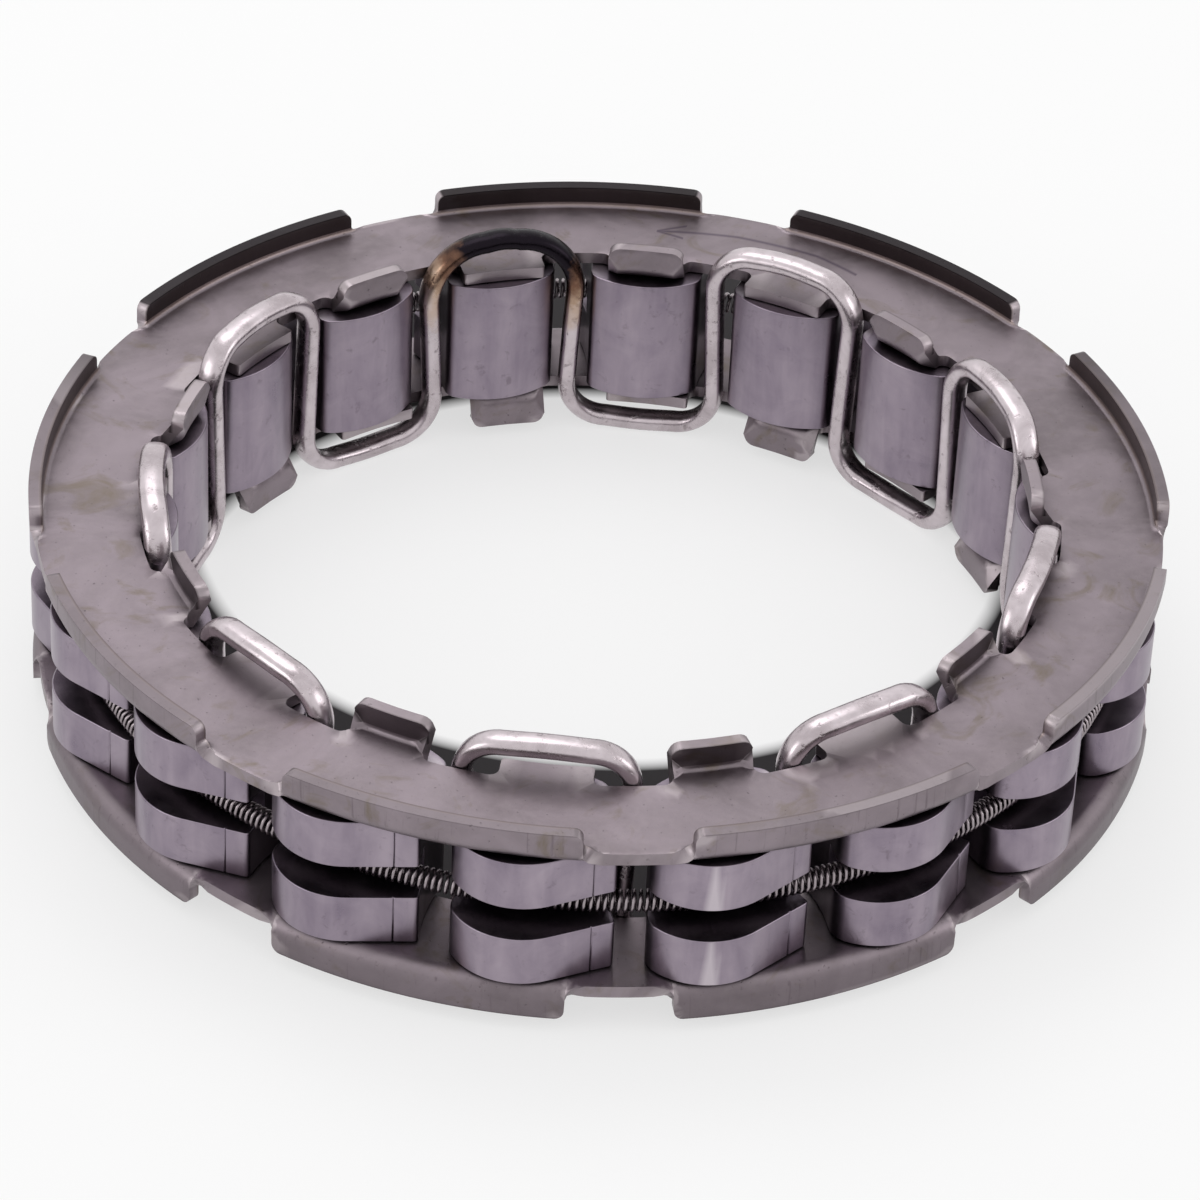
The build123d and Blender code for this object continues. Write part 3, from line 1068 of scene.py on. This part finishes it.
def sprag_mesh():
    """Points and faces of the sprag standing on +X."""
    toe_cross, rim, heel_cross, core = cut_by_floor(profile)
    full = [toe_cross] + rim + [heel_cross] + core
    small = inset(full, edge_chamfer)
    count, heel_corner = len(full), len(rim) + 1
    groove_rim = [full[0]] + small[1:heel_corner] + full[heel_corner:]
    levels = [
        (-sprag_half_length, small),
        (edge_chamfer - sprag_half_length, full),
        (-groove_half_width - edge_chamfer, full),
        (-groove_half_width, groove_rim),
    ]
    below_groove = len(levels) - 1
    levels += [(-height, ring) for height, ring in reversed(levels)]
    points = [(*point, height) for height, ring in levels for point in ring]
    top = len(levels) - 1
    faces = [list(range(count))[::-1], [top * count + i for i in range(count)]]
    for level in range(top):
        low, high = level * count, (level + 1) * count
        open_corners = heel_corner if level == below_groove else 0
        for i in range(open_corners, count):
            j = (i + 1) % count
            faces.append([low + i, low + j, high + j, high + i])
    chains = []
    edges = ((below_groove, -groove_half_width), (below_groove + 1, groove_half_width))
    for level, height in edges:
        toe_corner, first = level * count, len(points)
        points += [(*point, height) for point in floor_points(toe_cross, heel_cross)]
        chains.append([toe_corner] + list(range(first, len(points))) + [toe_corner + heel_corner])
    low_chain, high_chain = chains
    for i in range(len(low_chain) - 1):
        faces.append([low_chain[i], low_chain[i + 1], high_chain[i + 1], high_chain[i]])
    for chain, way in ((low_chain, 1), (high_chain, -1)):
        cheek = list(range(chain[0], chain[-1] + 1)) + chain[-2:0:-1]
        faces.append(cheek[::way])
    return points, faces


sprag_points, sprag_faces = sprag_mesh()
for index in range(sprag_count):
    turn = front + sprag_pitch * (index + 0.5)
    along_x, along_y = cos(turn), sin(turn)
    points = [
        (x * along_x - y * along_y, x * along_y + y * along_x, z) for x, y, z in sprag_points
    ]
    node = "sprag_%02d" % (index + 1)
    sprag = make_object(node + "_ground", points, sprag_faces, sprag_steel)
    sprag.data.set_sharp_from_angle(angle=radians(60))
    keep_faces_flat(sprag)
    stand_for(sprag, node, node)
print("sprags", len(sprag_points), "points each")

# %% [markdown]
# ## Garter spring
#
# A close-wound extension spring whose ends are joined to make a ring. The CAD
# model holds a plain ring in its place; here every coil is wound, because the
# glint of the separate coils is what makes it read as a spring.

# %% Spring steel
spring_dark, spring_light = (0.22, 0.19, 0.20), (0.42, 0.37, 0.39)


def make_spring_steel():
    """Bright spring wire with soft clouds."""
    material, tree, shader = new_material("spring_wire_steel")
    broad = clouds(tree, place(tree), 1.5, 3.0, 0.6)
    colour = blend_colours(tree, broad, spring_dark, spring_light)
    finish_metal(tree, shader, colour, spread(tree, broad, 0.3, 0.7, 0.22, 0.34))
    return material


spring_steel = make_spring_steel()
print("material", spring_steel.name)

# %% [markdown]
# ## Winding the spring
#
# The wire's centre goes round the coil while the coil goes round the ring. A
# five-sided tube along it is enough for wire this fine.

# %% Wind the spring
spring_radius = outer_race_radius - 3.9
coil_outside = 1.0
spring_wire = 0.155  # radius of the wire
coil_pitch = 0.55
coil_count = round(2 * pi * spring_radius / coil_pitch)
points_per_coil = 10
tube_sides = 5


def wind_spring():
    """Points and faces of the coiled tube, closed on itself."""
    points = []
    total = coil_count * points_per_coil
    coil_radius = coil_outside - spring_wire
    upwards = Vector((0, 0, 1))
    for step in range(total):
        out, onward = ring_directions(front + 2 * pi * step / total)
        wind = 2 * pi * step / points_per_coil
        radial = out * cos(wind) + upwards * sin(wind)
        around = upwards * cos(wind) - out * sin(wind)
        tangent = (around * 2 * pi * coil_radius + onward * coil_pitch).normalized()
        side = tangent.cross(radial)
        centre = out * spring_radius + radial * coil_radius
        for corner in range(tube_sides):
            turn = 2 * pi * corner / tube_sides
            points.append(centre + (radial * cos(turn) + side * sin(turn)) * spring_wire)
    return points, [face[:1] + face[:0:-1] for face in tube_faces(total, tube_sides)]


spring_points, spring_faces = wind_spring()
spring = make_object("garter_spring_coiled", spring_points, spring_faces, spring_steel)
stand_for(spring, "garter_spring", "cage")
print("spring", coil_count, "coils,", len(spring_points), "points")

# %% [markdown]
# ## Floor
#
# A white sweep under the ring, which shows as white to the camera and in
# reflections, so that the steel mirrors a white studio. A glowing floor takes no
# shadow, so the one that the ring throws back is painted on it: four copies of
# the ring's footprint, each a little further back.

# %% Floor
sweep_white, shadow_dark = (0.9, 0.9, 0.9), (0.02, 0.017, 0.019)
sweep_half_width = 1500.0
glow_share = 0.65
shadow_throws = (6.0, 12.0, 18.0, 24.0)
throw_aside = 0.09  # sideways for every millimetre back
footprint_radius = 42.75  # middle of the footprint
footprint_core, footprint_edge = 4.25, 6.0  # half widths of its dark part and of all of it


def white_to_the_eye(tree):
    """1 for camera, glossy and transmission rays, else 0."""
    ray = add_node(tree, "ShaderNodeLightPath")
    seen = maths(tree, "MAXIMUM", ray.outputs["Is Camera Ray"], ray.outputs["Is Glossy Ray"])
    return maths(tree, "MAXIMUM", seen, ray.outputs["Is Transmission Ray"])


def thrown_shadow(tree):
    """1 where the ring's shadow lies, else 0."""
    x, y, _ = add_node(tree, "ShaderNodeSeparateXYZ", {"Vector": place(tree)}).outputs
    shadow = 0.0
    for throw in shadow_throws:
        radius = length_of(tree, minus(tree, x, throw_aside * throw), minus(tree, y, throw))
        off_middle = without_sign(tree, minus(tree, radius, footprint_radius))
        footprint = spread(tree, off_middle, footprint_core, footprint_edge, 1.0, 0.0)
        shadow = maths(tree, "MAXIMUM", footprint, shadow)
    return shadow


def make_floor():
    """The sweep, level with the lowest point of the ring."""
    material, tree, shader = new_material("white_sweep")
    shadow = thrown_shadow(tree)
    floor_colour = blend_colours(tree, shadow, sweep_white, shadow_dark)
    tree.links.new(floor_colour, shader.inputs["Base Color"])
    shader.inputs["Roughness"].default_value = 0.9
    glow = add_node(tree, "ShaderNodeEmission", {"Color": (1, 1, 1, 1), "Strength": 1.0})
    lit = times(tree, minus(tree, 1.0, shadow), glow_share)
    factor = times(tree, white_to_the_eye(tree), lit)
    both = {0: factor, 1: shader.outputs[0], 2: glow.outputs[0]}
    mixed = add_node(tree, "ShaderNodeMixShader", both)
    tree.links.new(mixed.outputs[0], tree.nodes["Material Output"].inputs["Surface"])
    half, height = sweep_half_width, cad_low.z / mm
    signs = ((-1, -1), (1, -1), (1, 1), (-1, 1))
    corners = [(half * x, half * y, height) for x, y in signs]
    floor = make_object("floor", corners, [(0, 1, 2, 3)], material)


make_floor()
print("floor at", round(cad_low.z / mm, 2))

# %% [markdown]
# ## World and lamps
#
# An even white world, a little brighter to the eye than as a light, one broad
# softbox above and behind the ring and a fill on each side.

# %% World and lamps
world_light, world_seen = 0.8, 1.0
world = bpy.data.worlds.new("studio")
bpy.context.scene.world = world
world.use_nodes = True
sky = world.node_tree
background = sky.nodes["Background"]
background.inputs["Color"].default_value = (1, 1, 1, 1)
strength = spread(sky, white_to_the_eye(sky), 0, 1, world_light, world_seen)
sky.links.new(strength, background.inputs["Strength"])


def softbox(name, place_mm, width, power):
    """A square area lamp at a place, aimed at the middle of the ring."""
    lamp = bpy.data.lights.new(name, "AREA")
    lamp.shape = "SQUARE"
    lamp.size = width * mm
    lamp.energy = power
    holder = bpy.data.objects.new(name, lamp)
    holder.location = Vector(place_mm) * mm
    holder.rotation_euler = (-Vector(place_mm)).to_track_quat("-Z", "Y").to_euler()
    bpy.context.scene.collection.objects.link(holder)


softbox("overhead", (-60, 230, 420), 260, 0.38)
softbox("left_fill", (-430, -160, 180), 220, 0.32)
softbox("right_fill", (430, -120, 200), 220, 0.28)
print("lamps", len(bpy.data.lights))

# %% [markdown]
# ## Camera
#
# A long lens that looks down on the ring from in front, rolled a little, with the
# frame shifted so that the ring sits in its middle.

# %% Camera
eye_distance = 455.3
eye_height = radians(35.0)
eye_turn = radians(-95.15)
eye_roll = radians(2.72)
target = Vector((0, 0, plate_outside))
reach, rise = cos(eye_height), sin(eye_height)
back = Vector((reach * cos(eye_turn), reach * sin(eye_turn), rise))
level_right = Vector((0, 0, 1)).cross(back).normalized()
level_up = back.cross(level_right)
right = level_right * cos(eye_roll) + level_up * sin(eye_roll)
up = level_up * cos(eye_roll) - level_right * sin(eye_roll)

lens = bpy.data.cameras.new("camera")
lens.lens = 158.76
lens.sensor_width = 36
lens.shift_x = -0.0002
lens.shift_y = -0.0829
lens.clip_start = 0.01
lens.clip_end = 10
camera = bpy.data.objects.new("camera", lens)
bpy.context.scene.collection.objects.link(camera)
view = Matrix((right, up, back)).transposed().to_4x4()
camera.matrix_world = Matrix.Translation((target + back * eye_distance) * mm) @ view
bpy.context.scene.camera = camera
bpy.context.scene.view_settings.view_transform = "Standard"
print("camera at", [round(value, 1) for value in target + back * eye_distance], "mm")

# %% [markdown]
# ## Finish
#
# The CAD box, measured when the frame was loaded, is printed. The dressed model has to
# stay inside the CAD box.

# %% Sizes and finish
print("CAD box", [round(value / mm, 3) for value in (*cad_low, *cad_high)])
